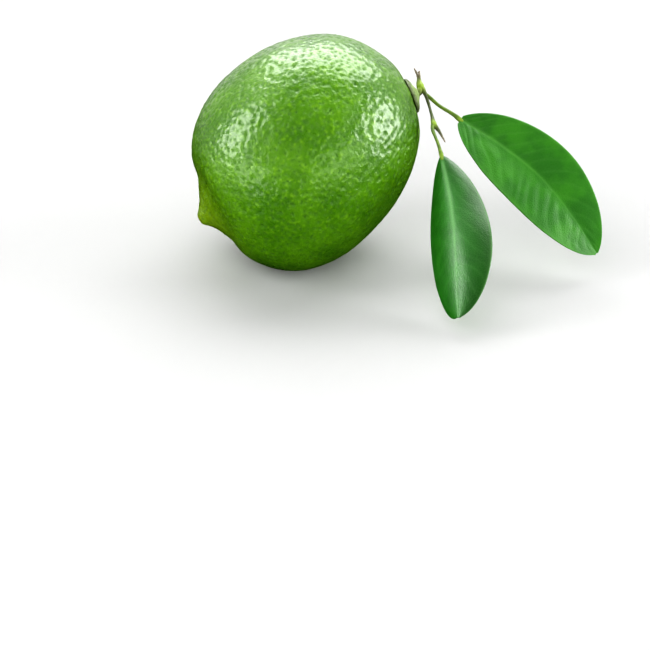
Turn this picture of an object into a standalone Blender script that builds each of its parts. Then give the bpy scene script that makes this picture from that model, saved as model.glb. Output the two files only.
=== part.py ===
"""A lime picked with its twig and two leaves, resting on the small flat spot on its side.

Each separate piece is one object: the fruit, the calyx button at its stem end, the twig with its
thorn, and two leaves, each a petiole and the blade that is jointed to it. Metres, +Z up. The origin
is the middle of the flat spot. +X points to the leafy side and -Y to the side that shows best.
"""

import math

import bmesh
import bpy
from mathutils import Matrix, Vector

MM = 0.001
GAP = 0.3 * MM  # left between two pieces that touch

# The fruit, about its own Z axis, which runs from the nipple at -Z to the stem end at +Z.
BODY_HALF_LENGTH = 30.9 * MM
BODY_RADIUS = 27.6 * MM
BODY_WIDTH = 0.985  # share of the radius at mid length
STEM_TAPER = 0.07  # how much narrower the stem half is, as a share of the radius
END_FULLNESS = 0.10  # how much both ends fill out, as a share of the radius
BODY_BOW = 1.0 * MM  # how far the middle bulges towards the fruit's own +X
BODY_SKEW = 0.05  # how far the stem end is moved towards +X, and the nipple end away, for its height
NIPPLE_SITE = Vector((5.6, 0.0)) * MM  # off the body's axis, in the fruit's own X and Y
NIPPLE_HEIGHT = 2.7 * MM
NIPPLE_SPREAD = 2.9 * MM
FURROW_DEPTH = 1.4 * MM  # the ring-shaped furrow round the nipple
FURROW_RADIUS = 9.4 * MM
FURROW_SPREAD = 3.8 * MM
STEM_SITE = Vector((-7.5, 3.0)) * MM
DIMPLE_DEPTH = 0.3 * MM  # the shallow seat that the calyx sits in
DIMPLE_SPREAD = 5.0 * MM

# How the fruit lies. Its middle is above the origin by its height, less what the flat spot takes off.
FRUIT_CENTRE = Vector((4.6, 2.7, 28.5)) * MM
FRUIT_LEAN = math.radians(30.3)  # stem end above the horizontal
FRUIT_HEADING = math.radians(27.7)  # stem end from +X towards +Y
FRUIT_ROLL = math.radians(145.0)  # about its own axis

CALYX_RADIUS = 4.5 * MM
CALYX_LOBES = 5
LOBE_LENGTH = 0.10  # of the calyx's radius
CALYX_TOP = 1.0 * MM
CALYX_UNDERSIDE = 0.25 * MM

BLADE_THICKNESS = 0.5 * MM
BLADE_START = 0.01  # of the midrib's length, where the blade has some width
BLADE_END = 0.998

# Routes are points from the fruit's middle, in millimetres, with the diameter there.
STEM_LINE = [
    ((27.4, 12.3, 17.8), 0.45),
    ((28.3, 10.8, 15.9), 0.7),
    ((28.8, 9.3, 14.2), 2.0),
    ((29.8, 7.9, 13.1), 1.2),
    ((30.5, 6.0, 11.9), 0.9),
    ((31.2, 3.1, 10.2), 0.75),
    ((31.6, 1.0, 9.2), 0.9),
    ((32.0, -1.2, 8.2), 1.5),
    ((33.1, -2.9, 7.2), 0.8),
    ((34.7, -5.7, 5.2), 0.3),
]
FRUIT_STALK = [
    ((28.2, 7.8, 12.9), 2.2),
    ((28.5, 7.9, 13.0), 2.0),
    ((28.8, 8.5, 13.5), 1.7),
    ((28.9, 9.3, 14.1), 1.4),
]
BROKEN_PRONG = [
    ((28.8, 9.9, 14.8), 0.8),
    ((28.7, 10.4, 15.8), 0.65),
    ((28.5, 11.1, 17.5), 0.5),
]
LARGE_PETIOLE = [
    ((31.5, 7.0, 11.7), 1.0),
    ((33.8, 5.7, 10.1), 0.95),
    ((36.3, 4.7, 8.9), 1.0),
    ((38.0, 3.7, 8.0), 1.25),
]
SMALL_PETIOLE = [
    ((31.5, -2.9, 7.5), 0.95),
    ((32.0, -4.8, 6.8), 0.8),
    ((32.7, -7.2, 5.7), 0.8),
    ((33.4, -9.7, 4.3), 1.1),
]
LARGE_MIDRIB = [
    (38.7, 3.5, 7.6),
    (49.1, -1.3, 2.5),
    (58.8, -6.4, -3.8),
    (66.8, -11.1, -12.0),
    (73.8, -15.4, -21.5),
]
SMALL_MIDRIB = [
    (33.5, -10.2, 3.7),
    (35.3, -20.0, -2.9),
    (36.1, -29.6, -9.1),
    (36.4, -38.1, -16.0),
    (36.7, -45.0, -23.3),
]
# The direction from the midrib to the upper edge of the blade, at the middle of its length.
LARGE_SIDE = Vector((0.68, 0.52, 0.51))
SMALL_SIDE = Vector((0.83, -0.45, 0.31))
# The upper half of a blade, then the lower half: its widest in millimetres, the power that its width
# grows by from the base, and the power that it closes by at the tip.
LARGE_HALVES = [(9.4, 0.7, 0.7), (10.9, 0.62, 0.6)]
SMALL_HALVES = [(8.4, 0.7, 0.6), (9.0, 0.75, 0.42)]


def clear_scene():
    for old in list(bpy.data.objects):
        bpy.data.objects.remove(old)


def new_collection(name):
    made = bpy.data.collections.new(name)
    bpy.context.scene.collection.children.link(made)
    return made


def surface_material(name, colour, roughness):
    made = bpy.data.materials.new(name)
    made.use_nodes = True
    shader = made.node_tree.nodes["Principled BSDF"]
    shader.inputs["Base Color"].default_value = (*colour, 1.0)
    shader.inputs["Roughness"].default_value = roughness
    shader.inputs["Metallic"].default_value = 0.0
    return made


def new_piece(name, form, collection, material):
    """An object made from a bmesh or a mesh, shaded smooth."""
    mesh = form
    if isinstance(form, bmesh.types.BMesh):
        mesh = bpy.data.meshes.new(name)
        form.to_mesh(mesh)
        form.free()
    mesh.shade_smooth()
    mesh.materials.clear()
    mesh.materials.append(material)
    piece = bpy.data.objects.new(name, mesh)
    collection.objects.link(piece)
    return piece


def bump(distance, spread):
    return math.exp(-((distance / spread) ** 2))


def fruit_surface(direction):
    """The point of the fruit's skin that lies in this direction from its middle, in its own frame."""
    width = BODY_WIDTH - STEM_TAPER * direction.z + END_FULLNESS * direction.z**2
    radius = BODY_RADIUS * width
    point = Vector((radius * direction.x, radius * direction.y, BODY_HALF_LENGTH * direction.z))
    point.x += BODY_BOW * (1 - direction.z**2)
    if direction.z < 0:
        from_nipple = (point.xy - NIPPLE_SITE).length
        point.z -= NIPPLE_HEIGHT * bump(from_nipple, NIPPLE_SPREAD)
        point.z += FURROW_DEPTH * bump(from_nipple - FURROW_RADIUS, FURROW_SPREAD)
    else:
        from_stem = (point.xy - STEM_SITE).length
        point.z -= DIMPLE_DEPTH * bump(from_stem, DIMPLE_SPREAD)
    point.x += BODY_SKEW * BODY_HALF_LENGTH * direction.z
    return point


def make_fruit(collection, material, cutters):
    """A sphere drawn out to the fruit's shape, with its flat spot cut at the surface it rests on."""
    around, rings = 48, 34
    pole_crowding = 0.22  # moves rings to the ends, where the nipple and the calyx seat are
    form = bmesh.new()
    bmesh.ops.create_uvsphere(form, u_segments=around, v_segments=rings, radius=1.0)
    for vert in form.verts:
        polar = vert.co.angle(Vector((0, 0, 1)))
        moved = polar - pole_crowding * math.sin(2 * polar)
        turn = math.atan2(vert.co.y, vert.co.x)
        ring = math.sin(moved)
        vert.co = fruit_surface(Vector((ring * math.cos(turn), ring * math.sin(turn), math.cos(moved))))
    fruit = new_piece("fruit", form, collection, material)

    surface_size = 60 * MM
    block = bmesh.new()
    bmesh.ops.create_cube(block, size=surface_size)
    cutter = new_piece("resting_surface_cutter", block, cutters, material)
    cutter.location = (0, 0, -surface_size / 2)
    cutter.hide_render = True
    cutter.display_type = "WIRE"
    cut = fruit.modifiers.new("flat_spot", "BOOLEAN")
    cut.operation = "DIFFERENCE"
    cut.object = cutter
    return fruit


def lying_pose():
    """How the fruit lies: from its own frame to the whole object's."""
    lean = Matrix.Rotation(math.pi / 2 - FRUIT_LEAN, 4, "Y")
    turned = Matrix.Rotation(FRUIT_HEADING, 4, "Z") @ lean @ Matrix.Rotation(FRUIT_ROLL, 4, "Z")
    return Matrix.Translation(FRUIT_CENTRE) @ turned


def stem_site():
    """Where the calyx sits: the point on the fruit's skin and the way out of it, in its own frame."""
    step = 0.02
    out = Vector((*STEM_SITE / BODY_RADIUS, 1)).normalized()
    site = fruit_surface(out)
    across = fruit_surface((out + Vector((step, 0, 0))).normalized()) - site
    along = fruit_surface((out + Vector((0, step, 0))).normalized()) - site
    return site, across.cross(along).normalized()


def calyx_seat(site, out, down):
    """Where the calyx goes on the skin, in the fruit's frame, with its X as nearly down as it can be."""
    lower = (down - down.dot(out) * out).normalized()
    axes = Matrix((lower, out.cross(lower), out)).transposed()
    return Matrix.Translation(site + out * (GAP + CALYX_UNDERSIDE)) @ axes.to_4x4()


def make_calyx(collection, material):
    """A low five-lobed button, domed above and nearly flat below, with one lobe along its X."""
    around, rings = 40, 12
    droop = 0.25 * MM  # of the lobes' tips, which follow the fruit
    form = bmesh.new()
    bmesh.ops.create_uvsphere(form, u_segments=around, v_segments=rings, radius=1.0)
    for vert in form.verts:
        turn = math.atan2(vert.co.y, vert.co.x)
        spread = math.hypot(vert.co.x, vert.co.y)
        reach = CALYX_RADIUS * (1 + LOBE_LENGTH * math.cos(CALYX_LOBES * turn)) * spread
        height = vert.co.z * (CALYX_TOP if vert.co.z > 0 else CALYX_UNDERSIDE)
        sag = droop * (reach / CALYX_RADIUS) ** 2
        vert.co = (reach * math.cos(turn), reach * math.sin(turn), height - sag)
    return new_piece("calyx", form, collection, material)


def rod_mesh(name, route, collection, material):
    """A smooth round rod through the route's points, as wide at each as the route says."""
    curve = bpy.data.curves.new(name + "_route", "CURVE")
    curve.dimensions = "3D"
    curve.resolution_u = 3
    curve.bevel_depth = 0.5 * MM
    curve.bevel_resolution = 2
    curve.use_fill_caps = True
    spline = curve.splines.new("BEZIER")
    spline.bezier_points.add(len(route) - 1)
    for point, (place, diameter) in zip(spline.bezier_points, route):
        point.co = FRUIT_CENTRE + Vector(place) * MM
        point.radius = diameter
        point.handle_left_type = "AUTO"
        point.handle_right_type = "AUTO"
    guide = bpy.data.objects.new(name + "_route", curve)
    collection.objects.link(guide)
    bpy.context.view_layer.update()
    mesh = bpy.data.meshes.new_from_object(guide.evaluated_get(bpy.context.evaluated_depsgraph_get()))
    bpy.data.objects.remove(guide)
    form = bmesh.new()
    form.from_mesh(mesh)
    bmesh.ops.remove_doubles(form, verts=form.verts, dist=0.001 * MM)
    bmesh.ops.recalc_face_normals(form, faces=form.faces)
    return new_piece(name, form, collection, material)


def make_twig(collection, material, cutters):
    """The stem line, with the fruit's stalk and the broken prong grown onto it."""
    twig = rod_mesh("twig", STEM_LINE, collection, material)
    for name, route in (("fruit_stalk", FRUIT_STALK), ("broken_prong", BROKEN_PRONG)):
        side_shoot = rod_mesh(name, route, cutters, material)
        side_shoot.hide_render = True
        side_shoot.display_type = "WIRE"
        grown = twig.modifiers.new(name, "BOOLEAN")
        grown.operation = "UNION"
        grown.object = side_shoot
    return twig


def along_route(points, share):
    """A point on the smooth Catmull-Rom curve through the points, for a share from 0 to 1."""
    ends = [2 * points[0] - points[1], *points, 2 * points[-1] - points[-2]]
    place = min(share * (len(points) - 1), len(points) - 1 - 1e-9)
    start = int(place)
    t = place - start
    a, b, c, d = ends[start : start + 4]
    return 0.5 * (2 * b + (c - a) * t + (2 * a - 5 * b + 4 * c - d) * t**2 + (3 * b - a - 3 * c + d) * t**3)


def blade_half_width(share, widest, base_power, tip_power):
    """The half width at this share of the midrib, where widest is the largest."""
    top = base_power / (base_power + tip_power)
    largest = top**base_power * (1 - top) ** tip_power
    return widest * share**base_power * (1 - share) ** tip_power / largest


def make_blade(name, midrib, halves, side, fold, arch, twist, collection, material):
    """A grid laid along the midrib. Fold lifts both halves and arch drops both edges, per half width.

    Twist turns the blade about its midrib, one way at the base and the other way at the tip.
    """
    along, across = 26, 8
    end_crowding = 0.5
    keel = 0.1  # rounds the fold at the midrib, of the half width
    points = [FRUIT_CENTRE + Vector(p) * MM for p in midrib]
    form = bmesh.new()
    bmesh.ops.create_grid(form, x_segments=along, y_segments=across, size=0.5)
    for vert in form.verts:
        place = vert.co.x + 0.5
        place -= end_crowding * math.sin(2 * math.pi * place) / (2 * math.pi)
        share = BLADE_START + (BLADE_END - BLADE_START) * place
        off = 2 * vert.co.y
        tangent = (along_route(points, share + 0.001) - along_route(points, share - 0.001)).normalized()
        outward = (side - side.dot(tangent) * tangent).normalized()
        turn = Matrix.Rotation(twist * (2 * share - 1), 3, tangent)
        outward = turn @ outward
        face = tangent.cross(outward)
        rise = fold * (math.hypot(off, keel) - keel) - arch * off**2
        half_width = blade_half_width(share, *halves[0 if off > 0 else 1]) * MM
        vert.co = along_route(points, share) + half_width * (off * outward + rise * face)
    blade = new_piece(name, form, collection, material)
    thickness = blade.modifiers.new("thickness", "SOLIDIFY")
    thickness.thickness = BLADE_THICKNESS
    thickness.offset = 0
    return blade


def main():
    clear_scene()
    lime = new_collection("lime")
    cutters = new_collection("cutters")
    skin = surface_material("skin", (0.075, 0.24, 0.008), 0.33)
    sepal = surface_material("sepal", (0.10, 0.13, 0.05), 0.6)
    bark = surface_material("bark", (0.15, 0.21, 0.04), 0.5)
    leaf_face = surface_material("leaf_face", (0.012, 0.16, 0.02), 0.3)

    lying = lying_pose()
    fruit = make_fruit(lime, skin, cutters)
    fruit.matrix_world = lying

    site, out = stem_site()
    calyx = make_calyx(lime, sepal)
    calyx.matrix_world = lying @ calyx_seat(site, out, lying.to_3x3().inverted() @ Vector((0, 0, -1)))

    make_twig(lime, bark, cutters)
    rod_mesh("petiole_large", LARGE_PETIOLE, lime, bark)
    rod_mesh("petiole_small", SMALL_PETIOLE, lime, bark)
    turn = math.radians(12)
    make_blade("leaf_large", LARGE_MIDRIB, LARGE_HALVES, LARGE_SIDE, 0.28, 0.05, 0.0, lime, leaf_face)
    make_blade("leaf_small", SMALL_MIDRIB, SMALL_HALVES, SMALL_SIDE, 0.0, 0.45, turn, lime, leaf_face)


main()
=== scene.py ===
"""The looks of a lime with its twig and two leaves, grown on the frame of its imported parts.

The fruit, calyx, twig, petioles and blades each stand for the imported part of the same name. They
keep its shape and add what grows on it: oil glands, wrinkles, veins, bark and broken ends.
"""

import math

import bmesh
import bpy
import numpy as np
from mathutils import Matrix, Vector, kdtree, noise


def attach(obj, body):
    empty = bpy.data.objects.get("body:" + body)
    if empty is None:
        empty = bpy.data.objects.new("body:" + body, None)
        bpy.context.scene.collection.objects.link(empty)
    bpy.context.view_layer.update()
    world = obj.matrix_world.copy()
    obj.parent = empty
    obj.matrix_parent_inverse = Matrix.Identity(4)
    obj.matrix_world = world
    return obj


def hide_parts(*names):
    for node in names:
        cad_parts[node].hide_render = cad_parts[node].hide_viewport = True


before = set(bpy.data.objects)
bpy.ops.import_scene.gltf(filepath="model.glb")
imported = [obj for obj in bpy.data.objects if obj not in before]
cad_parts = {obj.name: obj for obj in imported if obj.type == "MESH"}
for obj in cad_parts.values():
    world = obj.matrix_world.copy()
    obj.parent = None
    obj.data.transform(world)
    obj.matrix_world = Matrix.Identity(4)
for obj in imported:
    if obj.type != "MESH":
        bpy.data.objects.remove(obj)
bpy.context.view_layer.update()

# The object's lengths are in millimetres. The floor, the lights and the camera are set in metres.
MM = 0.001

# The fruit, about its own Z axis, which runs from the nipple at -Z to the stem end at +Z.
BODY_HALF_LENGTH = 30.9
BODY_RADIUS = 27.6
BODY_WIDTH = 0.985  # share of the radius at mid length
STEM_TAPER = 0.07  # how much narrower the stem half is, as a share of the radius
END_FULLNESS = 0.10  # how much both ends fill out, as a share of the radius
BODY_BOW = 1.0  # how far the middle bulges towards the fruit's own +X
BODY_SKEW = 0.05  # how far the stem end is moved towards +X, and the nipple end away, for its height
NIPPLE_SITE = (5.6, 0.0)  # off the body's axis, in the fruit's own X and Y
NIPPLE_HEIGHT = 2.7
NIPPLE_SPREAD = 2.9
FURROW_DEPTH = 1.4
FURROW_RADIUS = 9.4
FURROW_SPREAD = 3.8
FURROW_FILL = 0.55  # how much shallower it is on the side where it is filled out most
FURROW_FILL_SIDE = math.radians(130.0)
STEM_SITE = (-7.5, 3.0)
END_SHIFT = 1.5  # about how far the skew moves both of these sites
DIMPLE_DEPTH = 0.3
DIMPLE_SPREAD = 5.0

# How the fruit lies.
FRUIT_CENTRE = Vector((4.6, 2.7, 28.5))
FRUIT_LEAN = math.radians(30.3)
FRUIT_HEADING = math.radians(27.7)
FRUIT_ROLL = math.radians(145.0)

# The rind.
GLAND_SPACING = 1.75
GLAND_RADIUS = (0.32, 0.46)
GLAND_DEPTH = (0.14, 0.32)
GLAND_JOSTLE = 0.30  # how far a gland strays from its even place, as a share of the spacing
WRINKLE_SIZE = 2.4
WRINKLE_HEIGHT = 0.06
FINE_WRINKLE_SIZE = 0.85
FINE_WRINKLE_HEIGHT = 0.06
SMOOTH_SHARE = 0.45  # how strong the wrinkles are on the underside, next to 1 on the upper side
SMOOTH_UP_TO = 8.0  # the height where they start to grow
WRINKLED_FROM = 30.0  # the height where they are at their full strength
SWELL_SIZE = 11.0  # broad low swells under the wrinkles
SWELL_HEIGHT = 0.22
STEM_CREASES = 6  # shallow folds that run out from the calyx
STEM_CREASE_DEPTH = 0.16
STEM_CREASE_RADIUS = 7.5
STEM_CREASE_SPREAD = 4.0
TIP_SPREAD = 3.2  # the nipple's tip, where the pits are shallower
SCAR_SPREAD = 0.75  # the scar that the flower left on it
SCAR_DEPTH = 0.35
NIPPLE_YELLOW_SPREAD = 11.0
STEM_YELLOW_SPREAD = 9.0
STEM_YELLOW_SHARE = 0.2
FLAT_SPOT_SOFTNESS = 0.5  # how gradually the skin turns into the flat spot

CALYX_RADIUS = 4.5
CALYX_LOBES = 5
CALYX_BOSS_HEIGHT = 0.9
CALYX_BOSS_SPREAD = 1.7
CALYX_UNDERSIDE = 0.30  # how far its underside bulges down

BLADE_THICKNESS = 0.42
BLADE_SHARE = 0.45  # the thickness between the veins, as a share of the midrib's at the base
VEIN_SWEEP = 0.17  # how far a vein runs towards the tip, as a share of the midrib
VEIN_WIDTH = 0.11  # as a share of the space between two veins

# Routes are points from the fruit's middle, with the diameter there.
STEM_LINE = [
    ((27.4, 12.3, 17.8), 0.4),
    ((28.3, 10.8, 15.9), 0.65),
    ((28.8, 9.3, 14.2), 2.0),
    ((29.8, 7.9, 13.1), 1.1),
    ((30.5, 6.0, 11.9), 0.8),
    ((31.2, 3.1, 10.2), 0.65),
    ((31.6, 1.0, 9.2), 0.8),
    ((32.0, -1.2, 8.2), 1.45),
    ((33.1, -2.9, 7.2), 0.8),
    ((34.7, -5.7, 5.2), 0.3),
]
FRUIT_STALK = [
    ((27.3, 7.7, 12.6), 2.8),
    ((27.9, 7.8, 12.8), 2.2),
    ((28.5, 8.1, 13.1), 1.8),
    ((28.9, 9.3, 14.1), 1.5),
]
BROKEN_PRONG = [
    ((28.8, 9.9, 14.8), 0.8),
    ((28.7, 10.4, 15.8), 0.6),
    ((28.5, 11.1, 17.5), 0.45),
]
LARGE_PETIOLE = [
    ((30.4, 7.2, 12.6), 1.0),
    ((31.5, 7.0, 11.7), 0.9),
    ((33.8, 5.7, 10.1), 0.85),
    ((36.3, 4.7, 8.9), 0.9),
    ((37.6, 4.0, 8.3), 1.0),
    ((38.2, 3.7, 7.9), 1.25),
    ((38.9, 3.4, 7.4), 1.3),
    ((39.7, 3.1, 6.9), 0.9),
]
SMALL_PETIOLE = [
    ((31.7, -1.5, 8.1), 1.1),
    ((31.6, -2.9, 7.5), 0.9),
    ((32.0, -4.8, 6.8), 0.75),
    ((32.7, -7.2, 5.7), 0.75),
    ((33.2, -9.1, 4.6), 0.85),
    ((33.4, -9.8, 4.1), 1.1),
    ((33.6, -10.5, 3.5), 1.1),
    ((33.8, -11.4, 2.9), 0.8),
]
LARGE_MIDRIB = [
    (38.7, 3.5, 7.6),
    (49.1, -1.3, 2.5),
    (58.8, -6.4, -3.8),
    (66.8, -11.1, -12.0),
    (73.8, -15.4, -21.5),
]
SMALL_MIDRIB = [
    (33.5, -10.2, 3.7),
    (35.3, -20.0, -2.9),
    (36.1, -29.6, -9.1),
    (36.4, -38.1, -16.0),
    (36.7, -45.0, -23.3),
]
# The direction from the midrib to the upper edge of the blade, at the middle of its length.
LARGE_SIDE = Vector((0.68, 0.52, 0.51))
SMALL_SIDE = Vector((0.83, -0.45, 0.31))
# The upper half of a blade, then the lower half: its widest in millimetres, the power that its width
# grows by from the base, and the power that it closes by at the tip.
LARGE_HALVES = [(9.4, 0.7, 0.7), (10.9, 0.62, 0.6)]
SMALL_HALVES = [(8.4, 0.7, 0.6), (9.0, 0.75, 0.42)]


class Wire:
    """One socket in a material's nodes. An expression on wires adds the nodes that work it out."""

    def __init__(self, tree, socket=None):
        self.tree = tree
        self.socket = socket

    def add(self, kind, settings=None, inputs=None, output=0):
        """Adds a node: its settings first, then its sockets' values or links. Gives one output."""
        node = self.tree.nodes.new(kind)
        for name, value in (settings or {}).items():
            setattr(node, name, value)
        for key, value in (inputs or {}).items():
            if isinstance(value, Wire):
                self.tree.links.new(value.socket, node.inputs[key])
            else:
                node.inputs[key].default_value = value
        return Wire(self.tree, node.outputs[output] if node.outputs else None)

    def maths(self, operation, *terms):
        return self.add("ShaderNodeMath", {"operation": operation}, dict(enumerate(terms)))

    def __add__(self, other):
        return self.maths("ADD", self, other)

    def __radd__(self, other):
        return self.maths("ADD", other, self)

    def __sub__(self, other):
        return self.maths("SUBTRACT", self, other)

    def __rsub__(self, other):
        return self.maths("SUBTRACT", other, self)

    def __mul__(self, other):
        return self.maths("MULTIPLY", self, other)

    def __rmul__(self, other):
        return self.maths("MULTIPLY", other, self)

    def between(self, low, high):
        """0 up to low and 1 from high, with a smooth step between them."""
        levels = {"Value": self, "From Min": low, "From Max": high}
        return self.add("ShaderNodeMapRange", {"interpolation_type": "SMOOTHSTEP"}, levels)

    def mix(self, low, high):
        """The colour low where this wire is 0, and high where it is 1."""
        return self.add("ShaderNodeMix", {"data_type": "RGBA"}, {0: self, 6: low, 7: high}, output=2)

    def part(self, index):
        """One number of a vector: 0 for X, 1 for Y and 2 for Z."""
        return self.add("ShaderNodeSeparateXYZ", None, {0: self}, output=index)

    def grown(self, name):
        """A value that the mesh carries at its points."""
        return self.add("ShaderNodeAttribute", {"attribute_name": name}, output="Fac")

    def place(self):
        """Where on the object, in millimetres."""
        metres = self.add("ShaderNodeTexCoord", output="Object")
        scale = (1 / MM, 1 / MM, 1 / MM)
        return self.add("ShaderNodeVectorMath", {"operation": "MULTIPLY"}, {0: metres, 1: scale})

    def cloud(self, size, detail=2.0):
        """Soft noise from 0 to 1 whose patches are about this many millimetres, at this place."""
        return self.add("ShaderNodeTexNoise", None, {"Vector": self, "Scale": 1 / size, "Detail": detail})

    def raised(self, height):
        """The normal of a surface raised by this wire, by at most this many millimetres."""
        return self.add("ShaderNodeBump", None, {"Height": self, "Distance": height * MM})


def new_finish(name):
    material = bpy.data.materials.new(name)
    material.use_nodes = True
    material.node_tree.nodes.clear()
    return material, Wire(material.node_tree)


def finish(wire, **sockets):
    """Closes a material: the sockets of its shader, by name with _ for a space."""
    inputs = {name.replace("_", " "): value for name, value in sockets.items()}
    shader = wire.add("ShaderNodeBsdfPrincipled", None, inputs)
    wire.add("ShaderNodeOutputMaterial", None, {"Surface": shader})


def rgb(red, green, blue):
    return (red, green, blue, 1.0)


def rind_finish():
    """Waxy green rind: mottled, yellower at the nipple, darker in each oil gland partly as its own colour
    and partly as painted shade in its pit, with paler painted glints on the wrinkle crests.
    """
    material, wire = new_finish("waxy_rind")
    place = wire.place()
    patches = place.cloud(9.0, detail=3.0).between(0.36, 0.66)
    grain = place.cloud(1.1, detail=3.0).between(0.3, 0.7)
    green = patches.mix(rgb(0.039, 0.126, 0.001), rgb(0.066, 0.178, 0.001))
    green = (grain * 0.25).mix(green, rgb(0.104, 0.250, 0.003))
    yellowing = wire.grown("yellowing") * (0.75 + 0.25 * grain)
    green = yellowing.mix(green, rgb(0.128, 0.208, 0.001))
    gland = wire.grown("gland")
    # Darker in each oil gland's pit: partly the gland's own colour, partly painted shade in the pit.
    green = (gland * gland * 0.7).mix(green, rgb(0.020, 0.085, 0.001))
    # Painted glints: paler yellow-green on the crests of the fine wrinkles.
    green = (wire.grown("painted_glint") * 0.40).mix(green, rgb(0.190, 0.370, 0.012))
    green = wire.grown("scar").mix(green, rgb(0.190, 0.110, 0.022))
    roughness = 0.27 + 0.05 * patches + 0.50 * gland + 0.2 * wire.grown("scar")
    wrinkles = place.cloud(0.75, detail=2.0) * 0.75 + place.cloud(0.3) * 0.25
    normal = wrinkles.raised(0.24)
    finish(
        wire,
        Base_Color=green,
        Roughness=roughness,
        Normal=normal,
        Specular_IOR_Level=0.36,
        Coat_Weight=0.40 * (1 - gland),
        Coat_Roughness=0.13,
    )
    return material


def blade_finish(name, deep, fresh, vein, roughness, shine, coat, painted_shade=0.0):
    """One side of a leaf: green between the veins, paler along them and along the margin.

    Shine is how strongly its surface mirrors, and coat the same for its wax. The last argument is a
    painted shade: how much darker the green is painted towards the upper edge.
    """
    material, wire = new_finish(name)
    place = wire.place()
    patches = place.cloud(6.0, detail=3.0).between(0.35, 0.68)
    netting = {"Vector": place, "Scale": 1.6}
    cells = wire.add("ShaderNodeTexVoronoi", {"feature": "DISTANCE_TO_EDGE"}, netting)
    net = 1 - cells.between(0.0, 0.14)
    green = patches.mix(deep, fresh)
    # Painted shade: the green is painted darker towards the blade's upper edge.
    green = (wire.grown("upper") * painted_shade).mix(green, rgb(0.004, 0.040, 0.001))
    green = (net * 0.03).mix(green, vein)
    green = (wire.grown("vein") * 0.04).mix(green, vein)
    green = (wire.grown("margin") * 0.25).mix(green, vein)
    green = (wire.grown("rib") * 0.80).mix(green, vein)
    rough = roughness + 0.10 * place.cloud(0.5) + 0.08 * wire.grown("rib")
    normal = (place.cloud(0.35) * 0.5 - net * 0.5).raised(0.03)
    finish(
        wire,
        Base_Color=green,
        Roughness=rough,
        Normal=normal,
        Specular_IOR_Level=shine,
        Coat_Weight=coat,
        Coat_Roughness=0.25,
    )
    return material


def bark_finish(name, dark, fresh):
    """Smooth young bark: fine streaks along it, fresh green at the swellings, brown where it broke."""
    material, wire = new_finish(name)
    place = wire.place()
    patches = place.cloud(1.3, detail=3.0).between(0.3, 0.7)
    green = patches.mix(dark, fresh)
    green = wire.grown("fresh").mix(green, rgb(0.330, 0.490, 0.040))
    green = (wire.grown("ridge") * 0.25).mix(green, rgb(0.200, 0.260, 0.060))
    green = wire.grown("dry").mix(green, rgb(0.235, 0.195, 0.140))
    normal = place.cloud(0.18, detail=3.0).raised(0.02)
    finish(wire, Base_Color=green, Roughness=0.42 + 0.2 * patches, Normal=normal, Specular_IOR_Level=0.35)
    return material


def calyx_finish():
    """Dry grey-green sepals with a dark olive rim."""
    material, wire = new_finish("calyx_green")
    place = wire.place()
    patches = place.cloud(0.9, detail=4.0).between(0.3, 0.7)
    green = patches.mix(rgb(0.110, 0.170, 0.040), rgb(0.240, 0.330, 0.110))
    green = (wire.grown("rim") * 0.75).mix(green, rgb(0.050, 0.060, 0.020))
    normal = place.cloud(0.25, detail=4.0).raised(0.05)
    finish(wire, Base_Color=green, Roughness=0.62, Normal=normal)
    return material


def new_piece(name, mesh, *finishes):
    """A smooth-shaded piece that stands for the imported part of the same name."""
    mesh.shade_smooth()
    for material in finishes:
        mesh.materials.append(material)
    piece = bpy.data.objects.new(name + "_look", mesh)
    bpy.context.scene.collection.objects.link(piece)
    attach(piece, "root")
    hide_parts(name)
    return piece


def mesh_of(form, name):
    """A mesh from a bmesh, with its points as an array in millimetres."""
    mesh = bpy.data.meshes.new(name)
    form.to_mesh(mesh)
    form.free()
    return mesh, points_of(mesh)


def points_of(mesh):
    points = np.empty(len(mesh.vertices) * 3)
    mesh.vertices.foreach_get("co", points)
    return points.reshape(-1, 3)


def set_points(mesh, points):
    mesh.vertices.foreach_set("co", points.ravel())
    mesh.update()


def normals_of(mesh):
    normals = np.empty(len(mesh.vertices) * 3)
    mesh.vertices.foreach_get("normal", normals)
    return normals.reshape(-1, 3)


def grow(mesh, name, values):
    """Leaves a value at each point of the mesh, for its finish to read."""
    mesh.attributes.new(name, "FLOAT", "POINT").data.foreach_set("value", values.astype(np.float32))


def bump(distance, spread):
    return np.exp(-((distance / spread) ** 2))


def rough(points, size, octaves=2):
    """Soft noise from about -1 to 1 at each point, whose patches are about this size."""
    return np.array([noise.fractal(Vector(point) / size, 1.0, 2.0, octaves) for point in points])


def lying_pose():
    """How the fruit lies: from its own frame to the whole object's, in millimetres."""
    lean = Matrix.Rotation(math.pi / 2 - FRUIT_LEAN, 4, "Y")
    turned = Matrix.Rotation(FRUIT_HEADING, 4, "Z") @ lean @ Matrix.Rotation(FRUIT_ROLL, 4, "Z")
    return Matrix.Translation(FRUIT_CENTRE) @ turned


def moved(points, matrix):
    turned = np.array(matrix.to_3x3())
    return points @ turned.T + np.array(matrix.translation)


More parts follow.
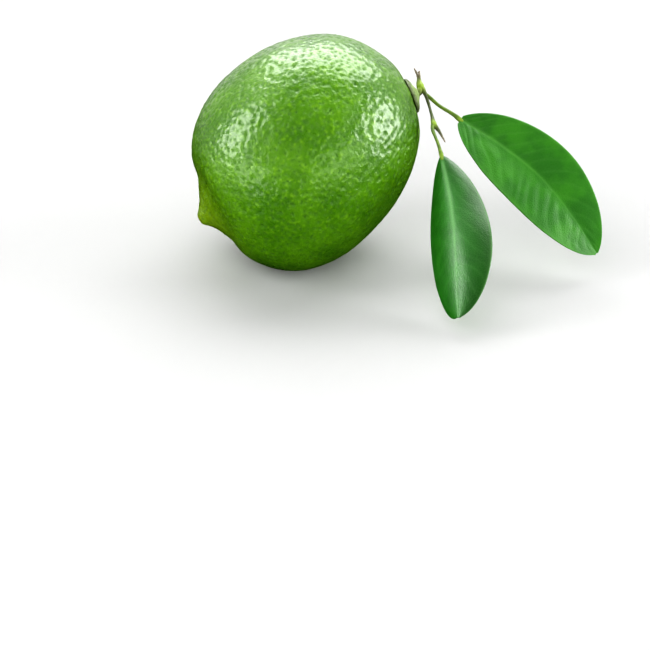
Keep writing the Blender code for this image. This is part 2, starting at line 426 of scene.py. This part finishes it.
def fruit_surface(directions):
    """The points of the smooth skin that lie in these directions from its middle, in its own frame."""
    x, y, z = directions.T
    radius = BODY_RADIUS * (BODY_WIDTH - STEM_TAPER * z + END_FULLNESS * z**2)
    across = radius * x + BODY_BOW * (1 - z**2)
    deep = radius * y
    high = BODY_HALF_LENGTH * z
    from_nipple = np.hypot(across - NIPPLE_SITE[0], deep - NIPPLE_SITE[1])
    from_stem = np.hypot(across - STEM_SITE[0], deep - STEM_SITE[1])
    around_nipple = np.arctan2(deep - NIPPLE_SITE[1], across - NIPPLE_SITE[0])
    filled = FURROW_FILL * np.clip(np.cos(around_nipple - FURROW_FILL_SIDE), 0, 1)
    nipple = NIPPLE_HEIGHT * bump(from_nipple, NIPPLE_SPREAD)
    furrow = FURROW_DEPTH * (1 - filled) * bump(from_nipple - FURROW_RADIUS, FURROW_SPREAD)
    high += np.where(z < 0, furrow - nipple, -DIMPLE_DEPTH * bump(from_stem, DIMPLE_SPREAD))
    across += BODY_SKEW * BODY_HALF_LENGTH * z
    return np.column_stack((across, deep, high))


def scattered_directions(spacing, chance):
    """Directions spread evenly over the fruit, this many millimetres apart on its skin, then jostled."""
    count = int(4 * math.pi * BODY_RADIUS * BODY_HALF_LENGTH / (0.866 * spacing**2))
    order = np.arange(count) + 0.5
    height = 1 - 2 * order / count
    turn = order * math.pi * (3 - math.sqrt(5))
    ring = np.sqrt(1 - height**2)
    even = np.column_stack((ring * np.cos(turn), ring * np.sin(turn), height))
    jostled = even + chance.normal(0, GLAND_JOSTLE * spacing / BODY_RADIUS, even.shape)
    return jostled / np.linalg.norm(jostled, axis=1, keepdims=True)


def gland_pits(points, chance):
    """How deep each point lies in an oil gland's pit, and how much of a pit it is, from 0 to 1."""
    glands = fruit_surface(scattered_directions(GLAND_SPACING, chance))
    radii = chance.uniform(*GLAND_RADIUS, len(glands))
    depths = chance.uniform(*GLAND_DEPTH, len(glands))
    tree = kdtree.KDTree(len(glands))
    for index, gland in enumerate(glands):
        tree.insert(gland, index)
    tree.balance()
    depth = np.zeros(len(points))
    share = np.zeros(len(points))
    for row, point in enumerate(points):
        for _, index, distance in tree.find_n(point, 2):
            pit = math.exp(-((distance / radii[index]) ** 2))
            depth[row] += pit * depths[index]
            share[row] = max(share[row], pit)
    return depth, share


def make_fruit(finishes):
    """A fine sphere on the fruit's shape, with its relief, laid down on its flat spot."""
    chance = np.random.default_rng(7)
    form = bmesh.new()
    bmesh.ops.create_icosphere(form, subdivisions=7, radius=1.0)
    mesh, directions = mesh_of(form, "fruit_look")
    directions /= np.linalg.norm(directions, axis=1, keepdims=True)
    points = fruit_surface(directions)
    set_points(mesh, points)

    from_nipple = np.hypot(points[:, 0] - NIPPLE_SITE[0] + END_SHIFT, points[:, 1] - NIPPLE_SITE[1])
    from_stem = np.hypot(points[:, 0] - STEM_SITE[0] - END_SHIFT, points[:, 1] - STEM_SITE[1])
    at_nipple = np.where(points[:, 2] < 0, 1.0, 0.0)
    at_stem = 1 - at_nipple
    around_stem = np.arctan2(points[:, 1] - STEM_SITE[1], points[:, 0] - STEM_SITE[0])

    pit_depth, pit_share = gland_pits(points, chance)
    tip = at_nipple * bump(from_nipple, TIP_SPREAD)
    height = moved(points, lying_pose())[:, 2]
    rising = np.clip((height - SMOOTH_UP_TO) / (WRINKLED_FROM - SMOOTH_UP_TO), 0, 1)
    wrinkling = SMOOTH_SHARE + (1 - SMOOTH_SHARE) * rising
    fine = rough(points, FINE_WRINKLE_SIZE)
    relief = WRINKLE_HEIGHT * rough(points, WRINKLE_SIZE) + FINE_WRINKLE_HEIGHT * fine
    relief -= pit_depth * (1 - 0.6 * tip)
    # Where the finish paints glints: the fine wrinkles' crests, away from the pits, stronger on the upper
    # side.
    painted_glint = np.clip(2.4 * fine - 0.45, 0, 1) * (1 - pit_share) * wrinkling
    relief = relief * wrinkling + SWELL_HEIGHT * rough(points, SWELL_SIZE, octaves=1)
    creased = at_stem * bump(from_stem - STEM_CREASE_RADIUS, STEM_CREASE_SPREAD)
    relief += STEM_CREASE_DEPTH * creased * np.cos(STEM_CREASES * around_stem + 2 * relief)
    scar = at_nipple * bump(from_nipple, SCAR_SPREAD)
    relief -= SCAR_DEPTH * scar

    points = moved(points + normals_of(mesh) * relief[:, None], lying_pose())
    height = points[:, 2]
    points[:, 2] = (height + np.sqrt(height**2 + FLAT_SPOT_SOFTNESS**2)) / 2
    points[:, 2] -= points[:, 2].min()
    set_points(mesh, points * MM)
    grow(mesh, "gland", pit_share)
    grow(mesh, "painted_glint", painted_glint)
    grow(mesh, "scar", scar)
    yellow = at_nipple * bump(from_nipple, NIPPLE_YELLOW_SPREAD)
    yellow += STEM_YELLOW_SHARE * at_stem * bump(from_stem, STEM_YELLOW_SPREAD)
    grow(mesh, "yellowing", np.clip(yellow, 0, 1))
    return new_piece("fruit", mesh, finishes["rind"])


def stem_seat():
    """Where the calyx sits, with its X as nearly down as it can be, in the whole object's frame."""
    step = 0.02
    out = np.array([STEM_SITE[0] / BODY_RADIUS, STEM_SITE[1] / BODY_RADIUS, 1.0])
    out /= np.linalg.norm(out)
    nearby = np.array([out, out + (step, 0, 0), out + (0, step, 0)])
    nearby /= np.linalg.norm(nearby, axis=1, keepdims=True)
    site, across, along = moved(fruit_surface(nearby), lying_pose())
    normal = Vector(np.cross(across - site, along - site)).normalized()
    down = Vector((0, 0, -1))
    lower = (down - down.dot(normal) * normal).normalized()
    axes = Matrix((lower, normal.cross(lower), normal)).transposed()
    return Matrix.Translation(Vector(site)) @ axes.to_4x4()


def make_calyx(finishes):
    """A five-lobed button: low rounded lobes, shallow creases between them, and a boss for the stalk."""
    around, rings = 160, 80
    form = bmesh.new()
    bmesh.ops.create_uvsphere(form, u_segments=around, v_segments=rings, radius=1.0)
    mesh, directions = mesh_of(form, "calyx_look")
    turn = np.arctan2(directions[:, 1], directions[:, 0])
    spread = np.hypot(directions[:, 0], directions[:, 1]) ** 0.8
    uneven = 0.05 * np.sin(2 * turn + 0.7) + 0.03 * np.sin(3 * turn + 2.0)
    crease = (0.5 - 0.5 * np.cos(CALYX_LOBES * turn)) ** 10
    reach = CALYX_RADIUS * (1.01 + 0.04 * np.cos(CALYX_LOBES * turn) - 0.05 * crease + uneven) * spread
    upper = directions[:, 2] > 0
    level = np.abs(directions[:, 2]) ** 0.7
    lobed = 1 - crease * np.clip(spread * 1.6 - 0.5, 0, 1)
    top = 0.82 + 0.13 * lobed + 0.12 * bump(spread - 0.78, 0.22) * lobed
    top += CALYX_BOSS_HEIGHT * bump(reach, CALYX_BOSS_SPREAD)
    height = np.where(upper, top * level, -CALYX_UNDERSIDE * level)
    height += 0.45 - 0.42 * (reach / CALYX_RADIUS) ** 2
    points = np.column_stack((reach * np.cos(turn), reach * np.sin(turn), height))
    points += directions * (0.07 * rough(points, 0.7, octaves=3))[:, None]
    set_points(mesh, moved(points, stem_seat()) * MM)
    grow(mesh, "rim", np.clip(bump(spread - 1.0, 0.16) + 0.35 * crease * spread, 0, 1))
    return new_piece("calyx", mesh, finishes["calyx"])


def rod_points(route):
    return [(FRUIT_CENTRE + Vector(place), diameter) for place, diameter in route]


def rod_form(route, form):
    """Adds a round rod through the route's points to a bmesh, in metres."""
    curve = bpy.data.curves.new("route", "CURVE")
    curve.dimensions = "3D"
    curve.resolution_u = 10
    curve.bevel_depth = 0.5 * MM
    curve.bevel_resolution = 5
    curve.use_fill_caps = True
    spline = curve.splines.new("BEZIER")
    spline.bezier_points.add(len(route) - 1)
    for point, (place, diameter) in zip(spline.bezier_points, rod_points(route)):
        point.co = place * MM
        point.radius = diameter
        point.handle_left_type = "AUTO"
        point.handle_right_type = "AUTO"
    guide = bpy.data.objects.new("route", curve)
    bpy.context.scene.collection.objects.link(guide)
    graph = bpy.context.evaluated_depsgraph_get()
    mesh = bpy.data.meshes.new_from_object(guide.evaluated_get(graph))
    form.from_mesh(mesh)
    bpy.data.objects.remove(guide)
    bpy.data.meshes.remove(mesh)


def grown_mesh(name, routes, fineness):
    """The rods of these routes grown into one smooth body, as a mesh."""
    form = bmesh.new()
    for route in routes:
        rod_form(route, form)
    bmesh.ops.remove_doubles(form, verts=form.verts, dist=0.001 * MM)
    rough_mesh, _ = mesh_of(form, name)
    body = bpy.data.objects.new(name, rough_mesh)
    bpy.context.scene.collection.objects.link(body)
    remesh = body.modifiers.new("fuse", "REMESH")
    remesh.mode = "VOXEL"
    remesh.voxel_size = fineness * MM
    smooth = body.modifiers.new("soften", "SMOOTH")
    smooth.factor = 0.5
    smooth.iterations = 4
    graph = bpy.context.evaluated_depsgraph_get()
    mesh = bpy.data.meshes.new_from_object(body.evaluated_get(graph))
    bpy.data.objects.remove(body)
    return mesh


def rod_places(points, routes):
    """For each point, how far along its rod it is, in millimetres, and its angle round the rod."""
    steps = 60
    samples = []
    for route in routes:
        line = [place for place, _ in rod_points(route)]
        centres = [along_route(line, step / steps) for step in range(steps + 1)]
        travelled = 0.0
        for here, following in zip(centres, centres[1:]):
            samples.append((here, (following - here).normalized(), travelled))
            travelled += (following - here).length
    tree = kdtree.KDTree(len(samples))
    for index, (centre, _, _) in enumerate(samples):
        tree.insert(centre, index)
    tree.balance()
    travelled = np.empty(len(points))
    angle = np.empty(len(points))
    for row, point in enumerate(points):
        _, index, _ = tree.find(point)
        centre, tangent, start = samples[index]
        side = tangent.orthogonal().normalized()
        offset = Vector(point) - centre
        travelled[row] = start + offset.dot(tangent)
        angle[row] = math.atan2(offset.dot(tangent.cross(side)), offset.dot(side))
    return travelled, angle


def near(points, route_point, reach):
    """1 at this point of a route, fading to 0 over about this many millimetres."""
    return bump(np.linalg.norm(points - np.array(FRUIT_CENTRE + Vector(route_point)), axis=1), reach)


def make_rod_piece(name, routes, material, fineness, freshness, fresh, dry):
    """A twig or a petiole, with ridges along it and frayed broken ends.

    Fineness is how small the cells are that its rods are fused in, in millimetres. Fresh and dry are
    lists of (route point, reach) where it is bright green or dead, and freshness is how bright the
    green ones are.
    """
    mesh = grown_mesh(name + "_look", routes, fineness)
    points = points_of(mesh) / MM
    travelled, angle = rod_places(points, routes)
    ridge = np.cos(5 * angle + 0.9 * np.sin(0.8 * travelled)) * 0.5 + 0.5
    dead = sum((near(points, *spot) for spot in dry), np.zeros(len(points)))
    bright = sum((near(points, *spot) for spot in fresh), np.zeros(len(points)))
    relief = 0.035 * ridge + 0.03 * rough(points, 0.6) + 0.12 * dead * rough(points, 0.3, octaves=3)
    set_points(mesh, (points + normals_of(mesh) * relief[:, None]) * MM)
    grow(mesh, "ridge", ridge)
    grow(mesh, "fresh", np.clip(bright, 0, 1) * freshness)
    grow(mesh, "dry", np.clip(dead, 0, 1))
    return new_piece(name, mesh, material)


def along_route(points, share):
    """A point on the smooth Catmull-Rom curve through the points, for a share from 0 to 1."""
    ends = [2 * points[0] - points[1], *points, 2 * points[-1] - points[-2]]
    place = min(share * (len(points) - 1), len(points) - 1 - 1e-9)
    start = int(place)
    t = place - start
    a, b, c, d = ends[start : start + 4]
    return 0.5 * (2 * b + (c - a) * t + (2 * a - 5 * b + 4 * c - d) * t**2 + (3 * b - a - 3 * c + d) * t**3)


def blade_half_width(share, widest, base_power, tip_power):
    """The half width at this share of the midrib, where widest is the largest."""
    top = base_power / (base_power + tip_power)
    largest = top**base_power * (1 - top) ** tip_power
    return widest * share**base_power * (1 - share) ** tip_power / largest


def make_blade(name, midrib, halves, side, fold, arch, twist, veins, quilting, paleness, seed, finishes):
    """A fine sheet laid along the midrib, with its veins pressed in, given its thickness.

    Fold lifts both halves, arch drops both edges and twist turns the blade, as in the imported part.
    Veins is how many leave each side of the midrib, quilting how far the blade swells between them,
    paleness how pale the midrib is, and seed picks the blade's own unevenness.
    """
    along, across = 190, 72
    keel = 0.1
    line = [FRUIT_CENTRE + Vector(p) for p in midrib]
    form = bmesh.new()
    bmesh.ops.create_grid(form, x_segments=along, y_segments=across, size=0.5)
    mesh, grid = mesh_of(form, name + "_look")
    points = np.empty_like(grid)
    marks = {mark: np.empty(len(grid)) for mark in ("vein", "rib", "margin", "upper", "thick")}
    for row, (x, y, _) in enumerate(grid.tolist()):
        place = x + 0.5
        place -= 0.5 * math.sin(2 * math.pi * place) / (2 * math.pi)
        share = 0.01 + 0.988 * place
        off = math.copysign(abs(2 * y) ** 1.15, y)
        tangent = (along_route(line, share + 0.001) - along_route(line, share - 0.001)).normalized()
        outward = (side - side.dot(tangent) * tangent).normalized()
        outward = Matrix.Rotation(twist * (2 * share - 1), 3, tangent) @ outward
        face = tangent.cross(outward)
        half_width = blade_half_width(share, *halves[0 if y > 0 else 1])
        rise = fold * (math.hypot(off, keel) - keel) - arch * off**2
        wander = noise.noise(Vector((6 * share, 2 * (y > 0), seed)))
        blotch = 0.5 + noise.noise(Vector((11 * share, 2.5 * off, seed + 3)))
        phase = veins * (share - VEIN_SWEEP * abs(off) ** 1.25) + 0.5 * (y > 0) + 0.8 * wander
        to_vein = abs(phase - round(phase))
        fade = min(1.0, 6 * abs(off)) * (1 - abs(off) ** 5)
        fade *= min(1.0, 12 * share) * min(1.0, 8 * (1 - share))
        vein = math.exp(-((to_vein / VEIN_WIDTH) ** 2)) * fade
        swelling = (0.5 - 0.5 * math.cos(2 * math.pi * phase)) * fade
        rib_width = 0.20 + 0.32 * (1 - share)
        rib = math.exp(-((off * half_width / rib_width) ** 2))
        ruffle = 0.25 * noise.noise(Vector((4 * share, 1.5 * off, seed + 9))) * abs(off) ** 1.5
        quilted = quilting * (1.5 - share) * (swelling * blotch - 0.25 * vein)
        lift = BLADE_THICKNESS / 2 + quilted - 0.03 * rib + ruffle
        points[row] = along_route(line, share) + half_width * (off * outward + rise * face) + lift * face
        marks["vein"][row] = vein
        marks["rib"][row] = rib * paleness * (1 - 0.7 * share)
        marks["margin"][row] = abs(off) ** 28
        # How far towards the upper edge, where the finish paints shade.
        marks["upper"][row] = max(off, 0.0)
        swollen = (1 - BLADE_SHARE) * rib * (1 - 0.6 * share) + 0.08 * vein
        marks["thick"][row] = BLADE_SHARE + swollen - 0.15 * abs(off) ** 8
    set_points(mesh, points * MM)
    for mark in ("vein", "rib", "margin", "upper"):
        grow(mesh, mark, marks[mark])
    piece = new_piece(name, mesh, finishes[name], finishes["leaf_under"])
    group = piece.vertex_groups.new(name="thick")
    for index, weight in enumerate(marks["thick"]):
        group.add([index], float(weight), "REPLACE")
    body = piece.modifiers.new("thickness", "SOLIDIFY")
    body.thickness = BLADE_THICKNESS / BLADE_SHARE * MM
    body.offset = -1
    body.vertex_group = "thick"
    body.material_offset = 1
    body.material_offset_rim = 0
    return piece


def area_light(name, place, target, width, height, power):
    light = bpy.data.lights.new(name, "AREA")
    light.shape = "RECTANGLE"
    light.size = width
    light.size_y = height
    light.energy = power
    lamp = bpy.data.objects.new(name, light)
    bpy.context.scene.collection.objects.link(lamp)
    lamp.location = place
    lamp.rotation_euler = (Vector(target) - Vector(place)).to_track_quat("-Z", "Y").to_euler()
    return lamp


def set_floor():
    """A pale floor that ends short of where the lights stop reaching. Gloss doesn't show it."""
    reach = 1.15
    form = bmesh.new()
    bmesh.ops.create_grid(form, x_segments=1, y_segments=1, size=reach)
    mesh, _ = mesh_of(form, "floor")
    floor = bpy.data.objects.new("floor", mesh)
    bpy.context.scene.collection.objects.link(floor)
    floor.location.z = -0.05 * MM
    floor.visible_glossy = False
    material, wire = new_finish("pale_floor")
    finish(wire, Base_Color=rgb(0.44, 0.44, 0.44), Roughness=0.9)
    mesh.materials.append(material)


def set_lights():
    """Softboxes above and behind, at both sides and low in front, and a fill from the front.

    Each softbox has a soft part and, just behind it, a shine part that is seen only in gloss. The
    soft parts of the low ones and the fill aren't seen in gloss.
    """
    behind = 1.03
    middle = FRUIT_CENTRE * MM
    # Name, place, width, height, and the watts of the soft part and of the shine part.
    softboxes = [
        ("back", (0.20, 0.90, 1.20), 2.1, 1.1, 15.0, 36.0),
        ("left", (-1.27, -0.15, 0.78), 0.65, 1.25, 10.5, 13.5),
        ("right", (1.42, -0.03, 0.42), 0.75, 0.8, 12.5, 9.5),
        ("low_right", (0.93, -1.12, 0.30), 1.0, 0.6, 8.5, 4.0),
        ("low_left", (-1.02, -1.05, 0.26), 0.9, 0.5, 9.0, 5.0),
    ]
    for side, place, width, height, soft, shine in softboxes:
        lamp = area_light(side + "_softbox", place, middle, width, height, soft)
        lamp.visible_glossy = not side.startswith("low")
        gleam = area_light(side + "_shine", Vector(place) * behind, middle, width, height, shine)
        gleam.visible_diffuse = False
    fill = area_light("front_fill", (-0.20, -1.20, 0.95), middle, 1.6, 1.2, 12.0)
    fill.visible_glossy = False


def set_surroundings():
    """White where it is seen directly. As a light it is brighter overhead towards the back and along
    the horizon, dimmer in front and black well below the horizon."""
    world = bpy.data.worlds.new("studio")
    bpy.context.scene.world = world
    world.use_nodes = True
    world.node_tree.nodes.clear()
    sky = Wire(world.node_tree)
    way = sky.add("ShaderNodeTexCoord", output="Generated")
    ahead, height = way.part(1), way.part(2)
    in_front = (ahead * -1.0).between(0.30, 0.85)
    overhead = (0.75 * ahead + 0.65 * height).between(0.50, 0.85)
    horizon = 1 - height.between(0.05, 0.22)
    strength = (0.20 + 0.60 * overhead + 0.40 * horizon) * (1 - 0.80 * in_front)
    strength = strength * height.between(-0.35, -0.05)
    seen_directly = sky.add("ShaderNodeLightPath", output="Is Camera Ray")
    strength = strength * (1 - seen_directly) + seen_directly
    light = sky.add("ShaderNodeBackground", None, {"Color": rgb(1.0, 1.0, 1.0), "Strength": strength})
    sky.add("ShaderNodeOutputWorld", None, {"Surface": light})
    bpy.context.scene.view_settings.view_transform = "Standard"
    bpy.context.scene.view_settings.look = "High Contrast"


def set_camera():
    """A long lens in front of the fruit and above it, tilted down by these degrees."""
    tilt = 30.49
    camera = bpy.data.objects.new("camera", bpy.data.cameras.new("camera"))
    bpy.context.scene.collection.objects.link(camera)
    camera.data.lens = 100.0
    camera.location = (0.0089, -0.4198, 0.2255)
    camera.rotation_euler = (math.radians(90 - tilt), 0, 0)
    bpy.context.scene.camera = camera


def main():
    finishes = {
        "rind": rind_finish(),
        "calyx": calyx_finish(),
        "leaf_large": blade_finish(
            "fresh_leaf",
            deep=rgb(0.014, 0.116, 0.001),
            fresh=rgb(0.026, 0.160, 0.001),
            vein=rgb(0.200, 0.460, 0.120),
            roughness=0.37,
            shine=0.38,
            coat=0.08,
        ),
        "leaf_small": blade_finish(
            "deep_leaf_painted_shade",
            deep=rgb(0.011, 0.104, 0.005),
            fresh=rgb(0.018, 0.138, 0.008),
            vein=rgb(0.220, 0.480, 0.160),
            roughness=0.30,
            shine=0.38,
            coat=0.08,
            # Painted shade on the upper half of this blade.
            painted_shade=0.85,
        ),
        "leaf_under": blade_finish(
            "leaf_underside",
            deep=rgb(0.080, 0.260, 0.040),
            fresh=rgb(0.120, 0.330, 0.060),
            vein=rgb(0.300, 0.520, 0.180),
            roughness=0.55,
            shine=0.5,
            coat=0.0,
        ),
        "bark": bark_finish("green_bark", rgb(0.014, 0.022, 0.004), rgb(0.036, 0.056, 0.008)),
        "petiole": bark_finish("petiole_green", rgb(0.060, 0.120, 0.008), rgb(0.135, 0.225, 0.020)),
    }
    make_fruit(finishes)
    make_calyx(finishes)

    make_rod_piece(
        "twig",
        [STEM_LINE, FRUIT_STALK, BROKEN_PRONG],
        finishes["bark"],
        fineness=0.10,
        freshness=1.0,
        fresh=[((28.8, 9.3, 14.2), 1.6), ((32.0, -1.2, 8.2), 1.1)],
        dry=[((27.4, 12.3, 17.8), 1.6), ((28.5, 11.1, 17.5), 1.8), ((34.7, -5.7, 5.2), 2.6)],
    )
    for name, route, reach in (("petiole_large", LARGE_PETIOLE, 0.8), ("petiole_small", SMALL_PETIOLE, 0.7)):
        joint = route[-2][0]
        make_rod_piece(
            name,
            [route],
            finishes["petiole"],
            fineness=0.08,
            freshness=0.5,
            fresh=[(joint, reach)],
            dry=[],
        )

    make_blade(
        "leaf_large",
        LARGE_MIDRIB,
        LARGE_HALVES,
        LARGE_SIDE,
        fold=0.28,
        arch=0.05,
        twist=0.0,
        veins=13,
        quilting=0.11,
        paleness=0.25,
        seed=1.3,
        finishes=finishes,
    )
    make_blade(
        "leaf_small",
        SMALL_MIDRIB,
        SMALL_HALVES,
        SMALL_SIDE,
        fold=0.0,
        arch=0.45,
        twist=math.radians(12),
        veins=12,
        quilting=0.015,
        paleness=0.35,
        seed=4.6,
        finishes=finishes,
    )
    set_floor()
    set_lights()
    set_surroundings()
    set_camera()


main()
